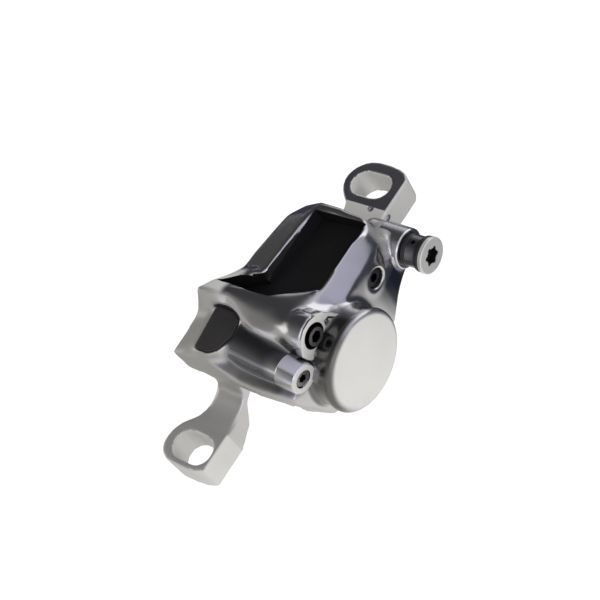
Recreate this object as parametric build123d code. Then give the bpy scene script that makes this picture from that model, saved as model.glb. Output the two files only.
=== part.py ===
from build123d import *
import math
import os

os.makedirs("parts", exist_ok=True)

# Two-piston disc brake caliper. X runs along the line of the two mounting slots, Y along the pistons
# and Z along the mounting bolts. The origin lies midway between the slots, in the plane of the mount.

# Mounting ears
post_spacing = 74.0
ear_thick = 7.5
slot_width = 6.6
slot_length = 10.4
slot_corner = 3.2
ear_end = 6.4
ear_side_far = 7.9
ear_side_low = 6.2
ear_side_high = 8.2
neck_height = 13.2
neck_start = 6.2
neck_lap = 0.3
neck_root = 17.0

# Rotor that the caliper straddles
rotor_offset = 10.0
rotor_thick = 1.8
rotor_radius = 70.0
rotor_top = 14.0
rotor_side_clear = 0.45
rotor_edge_clear = 0.8

# Pad stack, from the rotor outwards
pad_gap = 0.4
lining_thick = 3.0
plate_thick = 1.8
piston_gap = 0.1
pad_side_clear = 0.5
plate_clear = 0.4
lining_width = 23.0
lining_height = 15.2
plate_width = 25.9
plate_height = 24.9

# Pistons, bores and seals
piston_x = -4.3
piston_z = 7.4
piston_dia = 18.0
piston_length = 7.0
piston_cup_dia = 13.0
piston_cup_depth = 4.4
insulator_dia = 12.6
insulator_thick = 2.0
bore_clear = 0.04
bore_end_room = 0.4
seal_width = 2.0
seal_depth = 1.15
seal_from_wall = 1.6
seal_fit = 0.03

# Bore cap
cap_face = 26.0
cap_dia = 23.2
cap_boss_dia = 22.4
cap_rim_thick = 1.5
cap_plug_dia = 19.2
cap_plug_length = 1.1
cap_plug_clear = 0.05
cap_round = 1.2
cap_ring_section = 1.0
cap_ring_room = 1.1
cap_ring_fit = 0.05

# Body
rim_height = 22.7
crest_height = 26.0
end_reach = 23.2
flank_reach = 9.5
face_reach = 19.8
wall_end = 21.4
pocket_floor = 18.6
pocket_step = 14.0
pocket_corner = 0.8
back_boss_dia = 19.0
back_boss_high = 0.9
back_dish_dia = 14.0
back_dish_depth = 0.6

# Pad pin and its flange
pin_x = -7.9
pin_z = 20.7
pin_face = 21.0
pin_housing_dia = 9.0
pin_housing_end_dia = 4.8
pin_housing_back = 4.0
pin_dia = 3.0
pin_flange_dia = 9.2
pin_head_dia = 4.2
pin_head_length = 3.5
pin_head_rise = 0.7
pin_collar_dia = 5.8
pin_hex = 2.5
pin_hex_depth = 1.8
pin_tail = 1.5
pin_groove_dia = 2.2
pin_fit = 0.03
pin_tab_fit = 0.1
clip_thick = 0.6
clip_dia = 4.4
clip_opening = 1.8
clip_gap = 0.25
flange_arm_dia = 3.6

# Crossover ridge with the bleed screw at its end
bleed_face_x = -15.9
bleed_face_y = -21.7
bleed_face_z = 16.3
ridge_root_x = -13.6
ridge_root_y = 1.5
ridge_root_z = 17.4
ridge_root_dia = 10.4
ridge_end_dia = 6.6
bleed_boss_dia = 7.0
bleed_boss_length = 4.4
bleed_sink_dia = 4.0
bleed_sink_depth = 0.4
bleed_head_dia = 3.7
bleed_head_length = 1.5
bleed_thread_dia = 2.2
bleed_thread_length = 5.0
bleed_ring_section = 0.7
torx_small = 2.1
torx_small_depth = 1.1
passage_dia = 1.6

# Side plug on the shelf
plug_top = 21.9
plug_thick = 1.6
plug_rim = 0.7
plug_sink = 0.25
plug_length = 11.0
plug_width = 8.8
plug_x = -14.9
plug_y = 0.9
plug_boss_low = 13.0

# Hose bolt and its boss
port_x = 23.8
port_z = 7.9
port_face = 19.7
port_boss_dia = 9.1
port_boss_back = 8.0
hose_thread_dia = 5.8
hose_thread_length = 5.4
hose_land_dia = 7.3
hose_land_length = 2.3
first_ring_dia = 7.7
first_ring_section = 1.4
second_ring_dia = 8.4
second_ring_section = 1.6
hose_head_dia = 8.4
hose_head_length = 0.9
hose_head_round = 0.25
torx_large = 4.6
torx_large_depth = 1.6
hose_bore_dia = 2.0
hose_outlet_dia = 1.0
ring_fit = 0.05

# Passage plug screw
screw_x = 12.7
screw_z = 11.8
screw_face = 19.9
screw_boss_dia = 6.8
screw_sink_dia = 4.6
screw_sink_depth = 1.0
screw_head_dia = 4.2
screw_head_length = 1.6
screw_thread_dia = 3.0
screw_thread_length = 2.6
screw_hex = 2.0
screw_hex_depth = 1.3
screw_ring_section = 0.7

# Pad spring
spring_thick = 0.4
spring_from = 1.0
spring_to = 13.9
spring_roof_room = 0.52
spring_lining_room = 0.3
spring_foot = 2.0
spring_leg_from = 12.4
spring_plate_fit = 0.1
spring_bend = 1.0

# Shared values
overrun = 1.0
boss_root = 2.0
pin_boss_root = 3.0
drilling_room = 0.5
arm_rise = 0.25
cap_plug_room = 0.25
quarter_turn = 90
lobe_turn = 60
lobe_count = 6
side_inner = 1
side_outer = -1

# Six-lobe recess, as shares of its width across the lobes
lobe_core_share = 0.4
lobe_centre_share = 0.38
lobe_radius_share = 0.12

slot_face = rotor_thick / 2 + rotor_side_clear
lining_face = rotor_thick / 2 + pad_gap
plate_face = lining_face + lining_thick
plate_back = plate_face + plate_thick
piston_face = plate_back + piston_gap
piston_back = piston_face + piston_length
pocket_half = plate_back + pad_side_clear
bore_radius = piston_dia / 2 + bore_clear
slot_ceiling = rotor_radius + rotor_edge_clear
rotor_z = rotor_top - rotor_radius
cap_radius = cap_boss_dia / 2
cap_seat = cap_face - cap_rim_thick
body_width = face_reach + flank_reach


def rod(x, z, y_from, y_to, diameter):
    """Round bar along Y between two depths."""
    middle = (y_from + y_to) / 2
    return Pos(x, middle, z) * Rot(quarter_turn, 0, 0) * Cylinder(diameter / 2, abs(y_to - y_from))


def hex_rod(x, z, y_from, y_to, across):
    """Hexagonal bar along Y, for a socket."""
    sketch = RegularPolygon(across / math.sqrt(3), 6)
    middle = (y_from + y_to) / 2
    bar = extrude(sketch, abs(y_to - y_from) / 2, both=True)
    return Pos(x, middle, z) * Rot(quarter_turn, 0, 0) * bar


def ring(x, z, y, inner_diameter, section):
    """O-ring round the Y axis that touches the given inner diameter."""
    return Pos(x, y, z) * Rot(quarter_turn, 0, 0) * Torus((inner_diameter + section) / 2, section / 2)


def lobes(across, depth):
    """Six-lobe recess, cut downwards from its own origin."""
    core = Cylinder(across * lobe_core_share, depth, align=(Align.CENTER, Align.CENTER, Align.MAX))
    for number in range(lobe_count):
        tip = Pos(across * lobe_centre_share, 0, 0) * Cylinder(
            across * lobe_radius_share, depth, align=(Align.CENTER, Align.CENTER, Align.MAX))
        core += Rot(0, 0, number * lobe_turn) * tip
    return core


def plane_xz(y):
    """Sketch plane at one depth, with its first axis along X and its second along Z."""
    return Plane(origin=(0, y, 0), x_dir=(1, 0, 0), z_dir=(0, -1, 0))


# Outline of the backing plate: shares of its width and height, measured from the piston axis
plate_shares = [
    (-0.36, -0.38), (-0.465, 0.05), (-0.40, 0.31), (-0.255, 0.405), (-0.243, 0.57), (-0.193, 0.618),
    (-0.093, 0.618), (-0.042, 0.57), (-0.03, 0.43), (0.36, 0.43), (0.52, 0.34), (0.54, -0.08), (0.44, -0.38),
]

# Outline of the lining: shares of its width and height, measured the same way
lining_shares = [
    (-0.40, -0.56), (-0.50, 0.10), (-0.40, 0.44), (0.40, 0.44), (0.50, 0.20), (0.50, -0.20), (0.43, -0.56),
]


def outline(shares, width, height):
    """Closed sketch from a table of shares."""
    points = [(piston_x + across * width, piston_z + up * height) for across, up in shares]
    return make_face(Polyline(*points, close=True))


def slab(sketch, y_from, y_to):
    """Sketch in X and Z pushed through from one depth to another."""
    low = min(y_from, y_to)
    high = max(y_from, y_to)
    return extrude(plane_xz(high) * sketch, high - low)


def depth(side, distance):
    """Depth of a piece that lies a distance from the middle of the rotor, on one side of it."""
    return -rotor_offset + side * distance


# Sections of the end of the body, in X and Z: shares of the end reach and of the crest height.
# Each section lies at a share of the body width, counted from the near face to the far flank.
end_sections_share = {
    0.0: [(-0.87, 0.42), (-0.85, 0.475), (-0.56, 0.485), (-0.475, 0.73), (-0.325, 0.81), (-0.17, 0.75),
          (0.05, 0.64), (0.05, -0.14), (-0.60, -0.13), (-0.76, 0.21)],
    0.12: [(-0.92, 0.473), (-0.895, 0.54), (-0.58, 0.575), (-0.51, 0.835), (-0.345, 0.905), (-0.19, 0.90),
           (0.05, 0.86), (0.05, -0.15), (-0.645, -0.14), (-0.84, 0.28)],
    0.27: [(-0.955, 0.48), (-0.93, 0.56), (-0.58, 0.635), (-0.515, 0.86), (-0.36, 0.945), (-0.24, 0.955),
           (0.05, 0.87), (0.05, -0.16), (-0.69, -0.16), (-0.83, 0.38)],
    0.44: [(-0.965, 0.488), (-0.945, 0.585), (-0.58, 0.68), (-0.515, 0.865), (-0.37, 0.95), (-0.27, 0.965),
           (0.05, 0.873), (0.05, -0.16), (-0.71, -0.16), (-0.80, 0.47)],
    0.71: [(-0.98, 0.50), (-0.93, 0.77), (-0.475, 0.805), (-0.415, 0.90), (-0.335, 1.0), (-0.24, 0.985),
           (0.05, 0.873), (0.05, -0.16), (-0.71, -0.16), (-0.79, 0.49)],
    0.887: [(-0.985, 0.50), (-0.985, 0.81), (-0.52, 0.815), (-0.455, 0.905), (-0.38, 1.0), (-0.215, 0.97),
            (0.05, 0.79), (0.05, -0.16), (-0.71, -0.16), (-0.79, 0.49)],
    1.0: [(-0.985, 0.50), (-1.0, 0.815), (-0.55, 0.82), (-0.475, 0.90), (-0.39, 0.99), (-0.235, 0.90),
          (0.05, 0.57), (0.05, -0.16), (-0.70, -0.16), (-0.78, 0.48)],
}

# Sections of the middle of the body, in Y and Z: shares of the body width and of the rim height.
# Each section lies at a share of the distance from the origin to the end wall.
middle_sections_share = {
    -0.1: [(0.0, -0.14), (0.0, 0.735), (0.117, 0.997), (0.616, 1.006), (0.89, 0.90), (1.0, 0.65),
           (1.0, -0.19)],
    0.25: [(0.0, -0.15), (0.0, 0.735), (0.117, 0.997), (0.606, 1.009), (0.885, 0.89), (1.0, 0.64),
           (1.0, -0.19)],
    0.52: [(0.004, -0.15), (0.004, 0.73), (0.113, 0.996), (0.59, 1.012), (0.87, 0.875), (1.0, 0.61),
           (1.0, -0.16)],
    0.80: [(0.02, 0.10), (0.02, 0.725), (0.11, 0.992), (0.573, 1.013), (0.85, 0.86), (0.98, 0.58),
           (0.98, -0.08)],
    1.0: [(0.13, 0.30), (0.095, 0.71), (0.135, 0.965), (0.56, 0.98), (0.77, 0.82), (0.90, 0.52),
          (0.90, 0.02)],
}

# Outline of each ear from its far root round to the near corner, in shares of its end and its far side
ear_low_shares = [
    (-0.552, 0.862), (-0.198, 0.98), (0.147, 1.0), (0.505, 0.887), (0.712, 0.644), (0.79, 0.314),
    (0.767, -0.018), (0.72, -0.381),
]
ear_high_shares = [
    (-0.547, 0.791), (-0.141, 0.962), (0.484, 0.886), (0.945, 0.437), (1.0, -0.063), (0.969, -0.456),
    (0.828, -0.823),
]
ear_low_corner_share = 0.54
ear_high_corner_share = 0.42

# Plan of the two necks: shares of the length from the root in the body to the ear, and of the far flank
neck_low_shares = [
    (1.0, -0.652), (0.867, -0.60), (0.762, -0.56), (0.0, -0.56), (0.0, 0.33), (0.474, 0.335), (0.684, 0.36),
    (1.0, 0.46),
]
neck_high_shares = [
    (1.0, -0.863), (0.789, -0.86), (0.579, -0.70), (0.369, -0.45), (0.0, -0.30), (0.0, 0.60), (0.369, 0.55),
    (0.762, 0.36), (1.0, 0.36),
]

# Side view of the two necks: shares of the same length and of the height of the neck
neck_low_side_shares = [
    (1.0, 0.568), (0.867, 0.537), (0.736, 0.533), (0.579, 0.57), (0.44, 0.647), (0.361, 0.714),
    (0.361, 1.0), (0.0, 1.0), (0.0, 0.60), (0.211, 0.57), (0.39, 0.49), (0.605, 0.10), (0.815, 0.0),
    (1.0, 0.0),
]
neck_high_side_shares = [
    (1.0, 0.568), (0.867, 0.537), (0.736, 0.533), (0.526, 0.59), (0.369, 0.72), (0.264, 0.91), (0.0, 0.92),
    (0.0, 0.0), (1.0, 0.0),
]


def end_block():
    """Shelf, prow and crest at the end away from the hose."""
    faces = []
    for share, corners in end_sections_share.items():
        y = share * body_width - face_reach
        points = [(across * end_reach, y, up * crest_height) for across, up in corners]
        faces.append(make_face(Polyline(*points, close=True)))
    return loft(faces, ruled=True)


def middle_block():
    """The length with the pad pocket, from the end block to the end wall."""
    faces = []
    for share, corners in middle_sections_share.items():
        x = share * wall_end
        points = [(x, across * body_width - face_reach, up * rim_height) for across, up in corners]
        faces.append(make_face(Polyline(*points, close=True)))
    return loft(faces, ruled=True)


def ear(direction, near_side, corner_share, outline_shares, plan_shares, side_shares):
    """Ear with its neck and its slot, on one side of the origin."""
    half_spacing = post_spacing / 2
    centre = direction * half_spacing
    root = direction * (half_spacing - neck_start)
    root_side = plan_shares[-1][1] * flank_reach
    corner = centre + direction * ear_end * corner_share
    rim_points = [(centre + direction * ear_end * out, ear_side_far * along) for out, along in outline_shares]
    rim = Spline((root, root_side), *rim_points, (corner, -near_side))
    sides = Polyline((corner, -near_side), (root, -near_side), (root, root_side))
    plate = extrude(make_face(rim.edges() + sides.edges()), ear_thick, dir=(0, 0, 1))
    neck_length = half_spacing - neck_start + neck_lap - neck_root
    plan_points = [(direction * (neck_root + across * neck_length), along * flank_reach)
                   for across, along in plan_shares]
    plan = extrude(make_face(Polyline(*plan_points, close=True)), neck_height)
    side_points = [(direction * (neck_root + across * neck_length), up * neck_height)
                   for across, up in side_shares]
    side_view = make_face(Polyline(*side_points, close=True))
    neck = plan & slab(side_view, -face_reach, face_reach)
    slot = Pos(centre, 0, 0) * extrude(
        RectangleRounded(slot_width, slot_length, slot_corner), ear_thick + overrun, both=True)
    return plate + neck - slot


# Pocket in plan: x as a share of the end wall's place, y as a share of the near face's place
pocket_shares = [
    (0.902, -0.17), (0.902, -0.838), (0.075, -0.838), (-0.225, -0.42), (-0.255, -0.20), (-0.262, 0.42),
    (-0.09, 0.14), (0.02, -0.09),
]

plate_sketch = outline(plate_shares, plate_width, plate_height)
lining_sketch = outline(lining_shares, lining_width, lining_height)

# Body, without the holes
body = end_block() + middle_block()
body += rod(pin_x, pin_z, -face_reach + pin_boss_root, -pin_face, pin_flange_dia)
pin_housing_length = face_reach - overrun - pin_housing_back
body += Plane(origin=(pin_x, -pin_housing_back, pin_z), z_dir=(0, -1, 0)) * Cone(
    pin_housing_end_dia / 2, pin_housing_dia / 2, pin_housing_length,
    align=(Align.CENTER, Align.CENTER, Align.MIN))
pin_seat = pin_face + pin_head_rise - pin_head_length
body -= rod(pin_x, pin_z, -pin_face - overrun, -pin_seat, pin_collar_dia)
body += rod(piston_x, piston_z, -face_reach + boss_root, -cap_seat, cap_boss_dia)
body += rod(piston_x, piston_z, flank_reach - overrun, flank_reach + back_boss_high, back_boss_dia)
body += ear(-1, ear_side_low, ear_low_corner_share, ear_low_shares, neck_low_shares, neck_low_side_shares)
body += ear(1, ear_side_high, ear_high_corner_share, ear_high_shares, neck_high_shares, neck_high_side_shares)
body += rod(port_x, port_z, -port_boss_back, -port_face, port_boss_dia)
web_low = piston_z - cap_radius
web_points = [
    (piston_x, web_low), (piston_x + cap_radius * 1.15, web_low),
    (port_x - overrun, port_z - port_boss_dia * 0.45), (port_x, port_z), (wall_end * 0.8, screw_z),
    (piston_x, screw_z),
]
web = make_face(Polyline(*web_points, close=True))
body += slab(web, -rotor_offset - slot_face, -port_face + overrun)
body += rod(screw_x, screw_z, -face_reach + boss_root, -screw_face, screw_boss_dia)
arm_end_x = pin_x + pin_flange_dia
arm_end_z = pin_z - pin_flange_dia * 0.65
arm_root_x = pin_x + pin_flange_dia * 0.42
arm = make_hull(
    (Pos(arm_root_x, pin_z) * Circle(flange_arm_dia / 4)).edges()
    + (Pos(arm_end_x, arm_end_z) * Circle(flange_arm_dia / 4)).edges())
body += slab(arm, -face_reach + boss_root, -pin_face + arm_rise)

# Crossover ridge, from the shelf to the bleed screw
bleed_face = Vector(bleed_face_x, bleed_face_y, bleed_face_z)
ridge_root = Vector(ridge_root_x, ridge_root_y, ridge_root_z)
ridge_axis = (bleed_face - ridge_root).normalized()
ridge_length = (bleed_face - ridge_root).length
bleed_plane = Plane(origin=bleed_face, z_dir=ridge_axis)
ridge_plane = Plane(origin=ridge_root, z_dir=ridge_axis)
body += ridge_plane * Cone(
    ridge_root_dia / 2, ridge_end_dia / 2, ridge_length - overrun,
    align=(Align.CENTER, Align.CENTER, Align.MIN))
body += bleed_plane * Cylinder(
    bleed_boss_dia / 2, bleed_boss_length, align=(Align.CENTER, Align.CENTER, Align.MAX))

# Boss of the side plug, straight on the shelf side and round on the side of the ridge
plug_points = [
    (-plug_length * 0.5, plug_width * 0.30), (-plug_length * 0.5, -plug_width * 0.12),
    (-plug_length * 0.36, -plug_width * 0.36), (0, -plug_width * 0.5),
    (plug_length * 0.36, -plug_width * 0.42), (plug_length * 0.47, -plug_width * 0.16),
    (plug_length * 0.47, plug_width * 0.47),
]
plug_sketch = make_face(Polyline(*plug_points, close=True))
plug_sketch = fillet(plug_sketch.vertices(), plug_rim)
plug_boss_sketch = offset(plug_sketch, plug_rim)
plug_place = Pos(plug_x, plug_y, 0)
body += plug_place * Pos(0, 0, plug_boss_low) * extrude(plug_boss_sketch, plug_top - plug_boss_low)

# Rotor slot, pad pocket and pad cavity
body -= rod(piston_x, rotor_z, depth(side_outer, slot_face), depth(side_inner, slot_face), 2 * slot_ceiling)
cavity = offset(plate_sketch, plate_clear)
cavity_wide = cavity.bounding_box().size.X
cavity_x = cavity.bounding_box().center().X
open_share = 0.9
open_from_share = 0.08
open_below = Pos(cavity_x, piston_z) * Rectangle(
    cavity_wide * open_share, 2 * end_reach, align=(Align.CENTER, Align.MAX))
body -= slab(cavity + open_below, depth(side_outer, pocket_half), depth(side_inner, pocket_half))
open_from = cavity_x + cavity_wide * open_from_share
open_to = cavity_x + cavity_wide / 2
body -= Pos((open_from + open_to) / 2, -rotor_offset, pocket_step) * Box(
    open_to - open_from, 2 * pocket_half, crest_height - pocket_floor,
    align=(Align.CENTER, Align.CENTER, Align.MIN))
pocket_points = [(across * wall_end, along * face_reach) for across, along in pocket_shares]
pocket_sketch = make_face(Polyline(*pocket_points, close=True))
pocket_sketch = fillet(pocket_sketch.vertices(), pocket_corner)
body -= Pos(0, 0, pocket_floor) * extrude(pocket_sketch, crest_height)

# Piston bores, seal grooves and the seat of the cap
for side, end in ((side_inner, piston_back + bore_end_room), (side_outer, cap_face - rotor_offset)):
    body -= rod(piston_x, piston_z, depth(side, pocket_half - overrun), depth(side, end), 2 * bore_radius)
    groove = pocket_half + seal_from_wall
    body -= rod(piston_x, piston_z, depth(side, groove), depth(side, groove + seal_width),
                2 * (bore_radius + seal_depth))
body -= rod(piston_x, piston_z, -cap_seat - overrun, -cap_seat + cap_plug_length + cap_plug_room,
            cap_plug_dia + 2 * cap_plug_clear)
body -= rod(piston_x, piston_z, -cap_seat - overrun, -cap_seat + cap_ring_room,
            cap_plug_dia + 2 * (cap_ring_section + 2 * cap_ring_fit))
body -= rod(piston_x, piston_z, flank_reach + back_boss_high - back_dish_depth,
            flank_reach + back_boss_high + overrun, back_dish_dia)

# Hole of the pad pin
body -= rod(pin_x, pin_z, -pin_face - overrun, flank_reach + overrun, pin_dia + 2 * pin_fit)

# Port of the hose bolt, hole of the plug screw and the drillings that join them to the bore
hose_bottom = port_face - hose_thread_length
body -= rod(port_x, port_z, -port_face - overrun, -hose_bottom + overrun, hose_thread_dia + 2 * pin_fit)
body -= rod(screw_x, screw_z, -screw_face - overrun, -screw_face + screw_sink_depth + screw_head_length,
            screw_sink_dia)
screw_bottom = screw_face - screw_sink_depth - screw_head_length - screw_thread_length
body -= rod(screw_x, screw_z, -screw_face - overrun, -screw_bottom + overrun, screw_thread_dia + 2 * pin_fit)


def drilling(start, finish):
    """Straight fluid passage between two points."""
    way = Vector(*finish) - Vector(*start)
    place = Plane(origin=start, z_dir=way)
    return place * Cylinder(passage_dia / 2, way.length, align=(Align.CENTER, Align.CENTER, Align.MIN))


bore_room = cap_seat - cap_plug_length - bore_end_room
inlet_end = (port_x, -hose_bottom + drilling_room, port_z)
body -= drilling(inlet_end, (screw_x, -screw_bottom + drilling_room, screw_z))
body -= drilling((screw_x, -screw_bottom - drilling_room, screw_z), (piston_x, -bore_room, piston_z))

# Bleed port along the ridge, and the second drilling that the side plug closes
body -= bleed_plane * Cylinder(
    bleed_sink_dia / 2, bleed_sink_depth + bleed_head_length, align=(Align.CENTER, Align.CENTER, Align.MAX))
bleed_depth = bleed_sink_depth + bleed_head_length + bleed_thread_length
body -= bleed_plane * Cylinder(
    bleed_thread_dia / 2 + pin_fit, bleed_depth, align=(Align.CENTER, Align.CENTER, Align.MAX))
body -= bleed_plane * Cylinder(
    passage_dia / 2, ridge_length, align=(Align.CENTER, Align.CENTER, Align.MAX))
inner_room = piston_back - rotor_offset + bore_end_room / 2
crossing = (ridge_root_x, ridge_root_y, ridge_root_z)
body -= drilling((ridge_root_x, ridge_root_y, plug_top - plug_thick), crossing)
body -= drilling(crossing, (piston_x, inner_room, piston_z))
plug_seat = offset(plug_sketch, pin_fit)
body -= plug_place * Pos(0, 0, plug_top - plug_thick) * extrude(plug_seat, plug_thick + overrun)
export_step(body, "parts/body.step")

# Bore cap with its plug
cap = rod(piston_x, piston_z, -cap_face, -cap_seat, cap_dia)
cap_edges = [edge for edge in cap.edges() if edge.center().Y < -cap_seat - overrun / 2]
cap = fillet(cap_edges, cap_round)
cap += rod(piston_x, piston_z, -cap_seat, -cap_seat + cap_plug_length, cap_plug_dia)
export_step(cap, "parts/bore_cap.step")
cap_ring_y = -cap_seat + cap_ring_room / 2
export_step(ring(piston_x, piston_z, cap_ring_y, cap_plug_dia + 2 * cap_ring_fit, cap_ring_section),
            "parts/bore_cap_o_ring.step")

# Pistons, seals, insulators and pads, the same on both sides of the rotor
for side, name in ((side_inner, "inner"), (side_outer, "outer")):
    face = depth(side, piston_face)
    piston = rod(piston_x, piston_z, face, depth(side, piston_back), piston_dia)
    piston -= rod(piston_x, piston_z, face - side * overrun, depth(side, piston_face + piston_cup_depth),
                  piston_cup_dia)
    export_step(piston, f"parts/{name}_piston.step")
    cup_floor = piston_face + piston_cup_depth
    insulator = rod(piston_x, piston_z, depth(side, cup_floor), depth(side, cup_floor - insulator_thick),
                    insulator_dia)
    export_step(insulator, f"parts/{name}_piston_insulator.step")
    groove = pocket_half + seal_from_wall
    seal_from = depth(side, groove + seal_fit)
    seal_to = depth(side, groove + seal_width - seal_fit)
    seal = rod(piston_x, piston_z, seal_from, seal_to, 2 * (bore_radius + seal_depth - seal_fit))
    seal -= rod(piston_x, piston_z, seal_from - side * overrun, seal_to + side * overrun,
                piston_dia + 2 * seal_fit)
    export_step(seal, f"parts/{name}_piston_seal.step")
    plate = slab(plate_sketch, depth(side, plate_face), depth(side, plate_back))
    plate -= rod(pin_x, pin_z, depth(side, plate_face - overrun), depth(side, plate_back + overrun),
                 pin_dia + 2 * pin_tab_fit)
    export_step(plate, f"parts/{name}_pad_plate.step")
    lining = slab(lining_sketch, depth(side, lining_face), depth(side, plate_face))
    export_step(lining, f"parts/{name}_pad_lining.step")

# Pad spring: a bent leaf over the rotor, with short legs above the linings and one long leg beside them
leg = plate_face - spring_plate_fit
plate_shoulder = max(point[1] for point in plate_shares[-4:])
lining_top = max(point[1] for point in lining_shares)
leaf_top = piston_z + plate_shoulder * plate_height + plate_clear - spring_roof_room
leaf_low = piston_z + lining_top * lining_height + spring_lining_room
foot_low = piston_z - spring_foot
outer_line = [(-rotor_offset - leg, foot_low), (-rotor_offset - leg, leaf_top),
              (-rotor_offset + leg, leaf_top), (-rotor_offset + leg, foot_low)]
inner_leg = leg - spring_thick
inner_line = [(-rotor_offset + inner_leg, foot_low), (-rotor_offset + inner_leg, leaf_top - spring_thick),
              (-rotor_offset - inner_leg, leaf_top - spring_thick), (-rotor_offset - inner_leg, foot_low)]
leaf_sketch = make_face(Polyline(*outer_line, *inner_line, close=True))
top_corners = [corner for corner in leaf_sketch.vertices() if corner.Y > leaf_top - spring_thick / 2]
leaf_sketch = fillet(top_corners, spring_bend)
under_level = leaf_top - spring_thick
under_corners = [
    corner for corner in leaf_sketch.vertices()
    if abs(corner.Y - under_level) < spring_thick / 4 and abs(corner.X + rotor_offset) > leg / 2]
leaf_sketch = fillet(under_corners, spring_bend - spring_thick)
leaf_start = Plane(origin=(piston_x + spring_from, 0, 0), x_dir=(0, 1, 0), z_dir=(1, 0, 0))
spring = extrude(leaf_start * leaf_sketch, spring_to - spring_from)
trim_length = spring_leg_from - spring_from
trim = Pos(piston_x + spring_from + trim_length / 2, -rotor_offset, leaf_low) * Box(
    trim_length, 2 * (leg + overrun), plate_height, align=(Align.CENTER, Align.CENTER, Align.MAX))
spring -= trim
export_step(spring, "parts/pad_spring.step")

# Pad pin, with its socket and the groove for the clip
pin = rod(pin_x, pin_z, -pin_seat, flank_reach + pin_tail, pin_dia)
head_top = -pin_face - pin_head_rise
pin += rod(pin_x, pin_z, head_top, -pin_seat, pin_head_dia)
pin -= hex_rod(pin_x, pin_z, head_top - overrun, head_top + pin_hex_depth, pin_hex)
clip_from = flank_reach + clip_gap
groove_band = rod(pin_x, pin_z, clip_from, clip_from + clip_thick + pin_fit, pin_dia + overrun)
groove_band -= rod(pin_x, pin_z, clip_from - overrun, clip_from + clip_thick + overrun, pin_groove_dia)
pin -= groove_band
export_step(pin, "parts/pad_pin.step")
clip = rod(pin_x, pin_z, clip_from + pin_fit / 2, clip_from + pin_fit / 2 + clip_thick, clip_dia)
clip -= rod(pin_x, pin_z, clip_from - overrun, clip_from + clip_thick + overrun, pin_groove_dia + 2 * pin_fit)
clip -= Pos(pin_x, clip_from, pin_z - clip_dia / 2) * Box(clip_opening, 4 * clip_thick, clip_dia)
export_step(clip, "parts/pin_clip.step")

# Bleed screw with its ring
screw_place = Plane(origin=bleed_face - ridge_axis * bleed_sink_depth, z_dir=ridge_axis)
bleed = screw_place * Cylinder(
    bleed_head_dia / 2, bleed_head_length - bleed_ring_section, align=(Align.CENTER, Align.CENTER, Align.MAX))
bleed += screw_place * Cylinder(
    bleed_thread_dia / 2, bleed_head_length + bleed_thread_length,
    align=(Align.CENTER, Align.CENTER, Align.MAX))
bleed -= screw_place * lobes(torx_small, torx_small_depth)
export_step(bleed, "parts/bleed_screw.step")
bleed_ring_place = Plane(
    origin=bleed_face - ridge_axis * (bleed_sink_depth + bleed_head_length - bleed_ring_section / 2),
    z_dir=ridge_axis)
bleed_ring = bleed_ring_place * Torus(
    (bleed_thread_dia + bleed_ring_section) / 2 + ring_fit, bleed_ring_section / 2 - ring_fit)
export_step(bleed_ring, "parts/bleed_screw_o_ring.step")

# Side plug
side_plug = plug_place * Pos(0, 0, plug_top - plug_thick) * extrude(plug_sketch, plug_thick - plug_sink)
export_step(side_plug, "parts/side_plug.step")

# Hose bolt: thread, two ring seats with a land between them, and the head
land_from = port_face + first_ring_section
land_to = land_from + hose_land_length
head_from = land_to + second_ring_section
head_to = head_from + hose_head_length
land_middle = (land_from + land_to) / 2
head = rod(port_x, port_z, -head_from, -head_to, hose_head_dia)
head_edges = [edge for edge in head.edges() if edge.center().Y < -head_to + hose_head_length / 2]
hose_bolt = fillet(head_edges, hose_head_round)
hose_bolt += rod(port_x, port_z, -hose_bottom, -port_face, hose_thread_dia)
hose_bolt += rod(port_x, port_z, -port_face, -land_from, first_ring_dia - 2 * first_ring_section)
hose_bolt += rod(port_x, port_z, -land_from, -land_to, hose_land_dia)
hose_bolt += rod(port_x, port_z, -land_to, -head_from, second_ring_dia - 2 * second_ring_section)
head_place = Plane(origin=(port_x, -head_to, port_z), z_dir=(0, -1, 0))
hose_bolt -= head_place * lobes(torx_large, torx_large_depth)
hose_bolt -= rod(port_x, port_z, -hose_bottom + overrun, -land_middle - hose_outlet_dia, hose_bore_dia)
hose_bolt -= Pos(port_x, -land_middle, port_z) * Cylinder(hose_outlet_dia / 2, hose_land_dia)
export_step(hose_bolt, "parts/hose_bolt.step")
rings = []
for y, diameter, section in ((port_face, first_ring_dia, first_ring_section),
                             (land_to, second_ring_dia, second_ring_section)):
    seat_dia = diameter - 2 * section
    rings.append(ring(port_x, port_z, -y - section / 2, seat_dia + 2 * ring_fit, section - 2 * ring_fit))
export_step(Compound(children=rings), "parts/hose_bolt_o_rings.step")

# Passage plug screw with its ring
screw_top = screw_face - screw_sink_depth
screw_seat = screw_top - screw_head_length
plug_screw = rod(screw_x, screw_z, -screw_top, -screw_seat - screw_ring_section, screw_head_dia)
plug_screw += rod(screw_x, screw_z, -screw_top, -screw_bottom, screw_thread_dia)
plug_screw -= hex_rod(screw_x, screw_z, -screw_top - overrun, -screw_top + screw_hex_depth, screw_hex)
export_step(plug_screw, "parts/passage_plug_screw.step")
screw_ring_y = -screw_seat - screw_ring_section / 2
export_step(ring(screw_x, screw_z, screw_ring_y, screw_thread_dia + 2 * ring_fit,
                 screw_ring_section - 2 * ring_fit), "parts/passage_plug_o_ring.step")

print("body volume", round(body.volume), "solids", len(body.solids()))
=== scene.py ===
import math

import bpy
from mathutils import Matrix, Vector


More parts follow.
